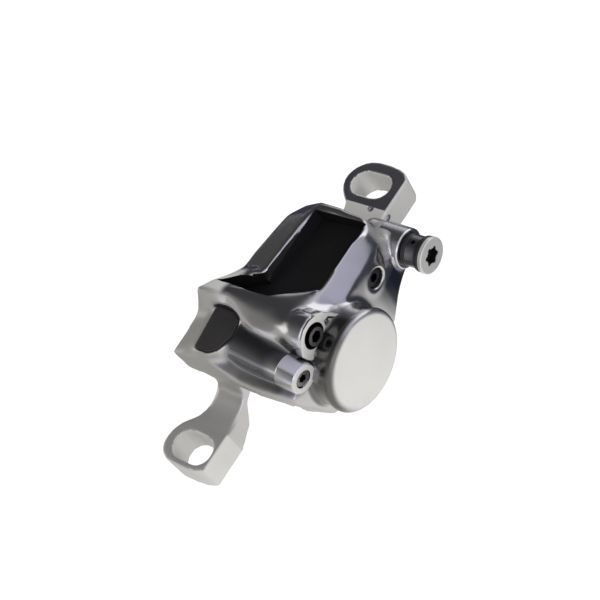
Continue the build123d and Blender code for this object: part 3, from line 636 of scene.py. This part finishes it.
def finishAt(point, normal):  # the finish of a face that the tools left polished, or nothing
    onEar = abs(point.x) > zones["earFrom"] and point.z < zones["earTop"]
    besideBoss = point.y > zones["neckFront"] or point.x > zones["neckEnd"]
    if onEar and normal.z > zones["flat"]:
        return earTopUpper if point.x > 0 else earTopLower
    if onEar or (point.x > zones["neckFrom"] and besideBoss and point.z < zones["neckTop"]):
        return earSidePale
    # the pad cavity's faces take the same near black, with painted shade
    if isWithin(point.y, machined["cavityY"]) and point.z < zones["cavityTop"] and inPadCavity(point):
        return pocketShadeBlack
    return None


def useFinish(piece, face, finish):
    index = piece.data.materials.find(finish.name)
    if index < 0:
        piece.data.materials.append(finish)
        index = len(piece.data.materials) - 1
    face.material_index = index


for face in body.data.polygons:
    if body.data.materials[face.material_index] == polished:
        finish = finishAt(face.center / mm, face.normal)
        if finish:
            useFinish(body, face, finish)
smoothShade(body, casting["shadeAngle"])
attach(body, "caliper")
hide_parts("body")

# machined rims that sit on the casting
rims = {
    "bleedRim": {  # end of the crossover ridge, round the bleed screw
        "profile": [(2.03, -1.6), (2.03, -0.10), (2.13, 0), (3.22, 0), (3.42, -0.18), (3.98, -4.3),
                    (3.86, -4.75), (3.0, -5.1)],
        "centre": bleedEnd, "axis": -ridgeWay, "finish": rimPolish, "face": earSidePale,
    },
    "portRim": {  # mouth of the hose boss
        "profile": [(2.98, -1.5), (2.98, 0.0), (4.36, 0), (4.62, -0.26), (4.72, -6.5), (4.3, -6.9)],
        "centre": (axes["port"][0], -19.7, axes["port"][1]), "axis": outwards, "finish": rimPolish,
        "face": rimPolish,
    },
    "capSeatRim": {  # shoulder that the bore cap closes on
        "profile": [(9.8, -0.9), (9.8, 0), (11.12, 0), (11.25, -0.12), (11.25, -1.6), (10.9, -1.7)],
        "centre": (axes["bore"][0], -24.5, axes["bore"][1]), "axis": outwards, "finish": polished,
        "face": polished,
    },
}
for name, rim in rims.items():
    piece = turned(name, rim["profile"], rim["centre"], rim["axis"])
    piece.data.materials.append(rim["finish"])
    for face in piece.data.polygons:
        isFront = face.normal.dot(Vector(rim["axis"])) > zones["flat"]
        useFinish(piece, face, rim["face"] if isFront else rim["finish"])
    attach(piece, "caliper")
print("rims turned")

# pin flange: a flat plate with a lobe below and a long arm beside the bore cap
flange = {
    "outline": [
        (-12.92, 19.84), (-11.91, 21.76), (-10.77, 23.45), (-8.99, 24.58), (-7.00, 24.73), (-4.99, 24.03),
        (-3.08, 22.57), (-1.11, 19.36), (0.98, 15.83), (-1.05, 17.64), (-2.82, 20.43), (-4.09, 20.60),
        (-4.42, 19.09), (-4.90, 18.07), (-6.74, 17.06), (-8.55, 17.12), (-9.64, 17.06), (-11.44, 16.37),
        (-12.32, 17.78)],
    "face": -21.12, "back": -19.2, "edge": 0.22, "edgeSteps": 3, "seat": (-22, -18), "flat": 0.95,
    "shadeAngle": 52,
}
plate = prism("pinFlangePlate", flange["outline"], flange["face"], flange["back"], along="Y")
bevelEdges(plate, lambda a, b: max(a.y, b.y) < flange["face"] * mm + levelSlack, flange["edge"],
           flange["edgeSteps"])
plate.data.materials.append(polished)
# the collar's wall takes the near black of painted shade
cutAway(plate, roundBar("collarTool", axes["pin"], *flange["seat"], casting["pinSeat"]), seatShadeBlack)
for face in plate.data.polygons:
    if face.normal.y < -flange["flat"]:
        useFinish(plate, face, earSidePale)
smoothShade(plate, flange["shadeAngle"])
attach(plate, "caliper")
print("pin flange made")

# side plug: the moulded plug with a rounded rim
plug = {"rim": 0.35, "rimSteps": 3, "flatWithin": 2, "shadeAngle": 40}
sidePlug = mergedCopy("sidePlugMoulded", "side_plug")
sidePlug.data.materials.append(plugCharcoal)
editAll(sidePlug)
bpy.ops.mesh.dissolve_limited(angle_limit=math.radians(plug["flatWithin"]))
bpy.ops.mesh.select_all(action="DESELECT")
bpy.ops.object.mode_set(mode="OBJECT")
plugTop = max(vertex.co.z for vertex in sidePlug.data.vertices)
bevelEdges(sidePlug, lambda a, b: min(a.z, b.z) > plugTop - levelSlack, plug["rim"], plug["rimSteps"])
smoothShade(sidePlug, plug["shadeAngle"])
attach(sidePlug, "caliper")
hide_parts("side_plug")
print("side plug made")

# the other nodes keep their shapes and take a finish
nodesOf = [
    (capSatin, ["bore_cap"]),
    (boltSilver, ["hose_bolt"]),
    (pinSteel, ["pad_pin"]),
    (bleedSteel, ["bleed_screw"]),
    (plugScrewSteel, ["passage_plug_screw"]),
    (springSteel, ["pad_spring", "pin_clip"]),
    (pistonTurned, ["outer_piston", "inner_piston"]),
    (insulatorResin, ["outer_piston_insulator", "inner_piston_insulator"]),
    (platePaint, ["outer_pad_plate", "inner_pad_plate"]),
    (liningGrit, ["outer_pad_lining", "inner_pad_lining"]),
    (blackRubber, ["outer_piston_seal", "inner_piston_seal", "bore_cap_o_ring", "bleed_screw_o_ring",
                   "hose_bolt_o_rings", "passage_plug_o_ring"]),
]
for finish, names in nodesOf:
    for name in names:
        slots = nodes[name].material_slots
        if slots:
            for slot in slots:
                slot.material = finish
        else:
            nodes[name].data.materials.append(finish)
print("nodes finished")

# camera, from the photograph's viewing angle
shot = {
    "right": (0.53596, -0.74310, -0.40048), "back": (-0.27630, -0.60218, 0.74900), "distance": 273.34,
    "lens": 71.78, "sensor": 36, "shift": (0.0025, 0.0474), "clip": (0.01, 20),
}
lensData = bpy.data.cameras.new("shotCamera")
lensData.sensor_width = shot["sensor"]
lensData.lens = shot["lens"]
lensData.shift_x, lensData.shift_y = shot["shift"]
lensData.clip_start, lensData.clip_end = shot["clip"]
camera = linkNew("shotCamera", lensData)
back = Vector(shot["back"]).normalized()
right = (Vector(shot["right"]) - back * back.dot(Vector(shot["right"]))).normalized()
turn = Matrix((right, back.cross(right), back)).transposed().to_4x4()
camera.matrix_world = Matrix.Translation(back * shot["distance"] * mm) @ turn
bpy.context.scene.camera = camera
bpy.context.scene.view_settings.view_transform = "Standard"
print("camera placed")

# white studio: camera and mirror rays see white, and the floor keeps the shadow
studio = {
    "ambient": 0.60, "floorSize": 6, "floorDrop": 26.0, "floorTone": (0.80, 0.80, 0.80), "floorRough": 0.9,
    "floorLift": 0.50, "cardHeight": 500.0, "cardLift": 0.5,
    "darkMiddle": (-0.2, 0.8), "darkFrom": 0.85, "darkTo": 1.5, "darkTone": (0.062, 0.062, 0.066),
    "greyTone": (0.34, 0.335, 0.315), "lavender": (0.74, 0.74, 0.82),
}
floorLevel = cadBox[0][2] - studio["floorDrop"] * mm


def seenDirectly(tree):  # 1 for camera, mirror and glass rays
    path = newNode(tree, "LightPath").outputs
    first = newNode(tree, "Math", {0: path["Is Camera Ray"], 1: path["Is Glossy Ray"]}, operation="ADD")
    both = newNode(tree, "Math", {0: first.outputs[0], 1: path["Is Transmission Ray"]}, operation="ADD",
                   use_clamp=True)
    return both.outputs[0]


world = bpy.data.worlds.new("whiteStudio")
bpy.context.scene.world = world
world.use_nodes = True
tree = world.node_tree
sky = tree.nodes["Background"]
sky.inputs["Color"].default_value = (1, 1, 1, 1)
level = newNode(tree, "MapRange", {"Value": seenDirectly(tree), "To Min": studio["ambient"], "To Max": 1.0})
tree.links.new(level.outputs["Result"], sky.inputs["Strength"])

deselectAll()
bpy.ops.mesh.primitive_plane_add(size=studio["floorSize"], location=(0, 0, floorLevel))
floor = bpy.context.object
floor.name = "floor"
applyPlace(floor)
paper = bpy.data.materials.new("whitePaper")
paper.use_nodes = True
tree = paper.node_tree
shader = tree.nodes["Principled BSDF"]
shader.inputs["Base Color"].default_value = (*studio["floorTone"], 1)
shader.inputs["Roughness"].default_value = studio["floorRough"]
shader.inputs["Emission Color"].default_value = (1, 1, 1, 1)
lift = newNode(tree, "Math", {0: seenDirectly(tree), 1: studio["floorLift"]}, operation="MULTIPLY")
tree.links.new(lift.outputs[0], shader.inputs["Emission Strength"])
floor.data.materials.append(paper)


def mirrorCard(name, size, place, turn, build):  # a card that only mirrors see
    deselectAll()
    bpy.ops.mesh.primitive_plane_add(size=size, location=place, rotation=turn)
    card = bpy.context.object
    card.name = name
    applyPlace(card)
    shade = bpy.data.materials.new(name + "Shade")
    shade.use_nodes = True
    tree = shade.node_tree
    shader = tree.nodes["Principled BSDF"]
    shader.inputs["Base Color"].default_value = (0, 0, 0, 1)
    shader.inputs["Specular IOR Level"].default_value = 0
    shader.inputs["Emission Strength"].default_value = 1.0
    tree.links.new(build(tree), shader.inputs["Emission Color"])
    card.data.materials.append(shade)
    card.visible_camera = False
    card.visible_diffuse = False
    card.visible_shadow = False
    card.visible_transmission = False


def fadeBetween(tree, source, low, high, near, far):  # colour that runs from near to far along a value
    share = fadeAcross(tree, source, low, high)
    first = (*near, 1) if isinstance(near, tuple) else near
    return newNode(tree, "Mix", {0: share, 6: first, 7: (*far, 1)}, data_type="RGBA").outputs[2]


def skyShade(tree):  # dark round the middle, grey to the left of it, pale lavender beyond
    middle = fadeBetween(tree, coordinate(tree, "X"), -0.75, 0.15, studio["greyTone"], studio["darkTone"])
    darkest = (*studio["darkMiddle"], studio["cardHeight"] * mm)
    reach = vectorStep(tree, "LENGTH", vectorStep(tree, "SUBTRACT", objectPlace(tree), darkest))
    return fadeBetween(tree, reach, studio["darkFrom"], studio["darkTo"], middle, studio["lavender"])


def groundShade(tree):  # white in front and to the left, greyer behind, dark to the right
    behind = fadeBetween(tree, coordinate(tree, "Y"), -0.02, 0.06, (1.0, 0.985, 0.95), (0.46, 0.45, 0.43))
    return fadeBetween(tree, coordinate(tree, "X"), 0.020, 0.036, behind, (0.05, 0.055, 0.075))


def frontShade(tree):  # lavender, a little darker to the right
    return fadeBetween(tree, coordinate(tree, "X"), -0.2, 1.0, (0.80, 0.80, 0.98), (0.50, 0.50, 0.64))


def backShade(tree):  # warm grey to the left, dark to the right
    return fadeBetween(tree, coordinate(tree, "X"), -0.25, 0.30, (0.60, 0.585, 0.56), (0.09, 0.088, 0.09))


lying = (0, 0, 0)
standing = (math.pi / 2, 0, 0)
cards = [  # name, width, place in metres, turn, shade
    ("skyCard", 6.0, (0, 0.2, studio["cardHeight"] * mm), lying, skyShade),
    ("groundCard", 1.6, (0, 0, floorLevel + studio["cardLift"] * mm), lying, groundShade),
    ("backCard", 3.0, (0, 1.1, 0.6), standing, backShade),
    ("frontCard", 3.0, (0, -1.3, 0.6), standing, frontShade),
]
for card in cards:
    mirrorCard(*card)

lamps = [  # name, place in metres, width, power
    ("keyLamp", (-0.3, -1.0, 0.7), 1.0, 5.0),
    ("fillLamp", (0.9, -0.4, 0.3), 0.8, 1.6),
    ("backLamp", (-0.3, 1.0, 0.25), 0.6, 1.0),
]
for name, place, width, power in lamps:
    lamp = bpy.data.lights.new(name, "AREA")
    lamp.size = width
    lamp.energy = power
    holder = linkNew(name, lamp)
    holder.location = place
    holder.rotation_euler = (-Vector(place)).to_track_quat("-Z", "Y").to_euler()
print("studio ready")
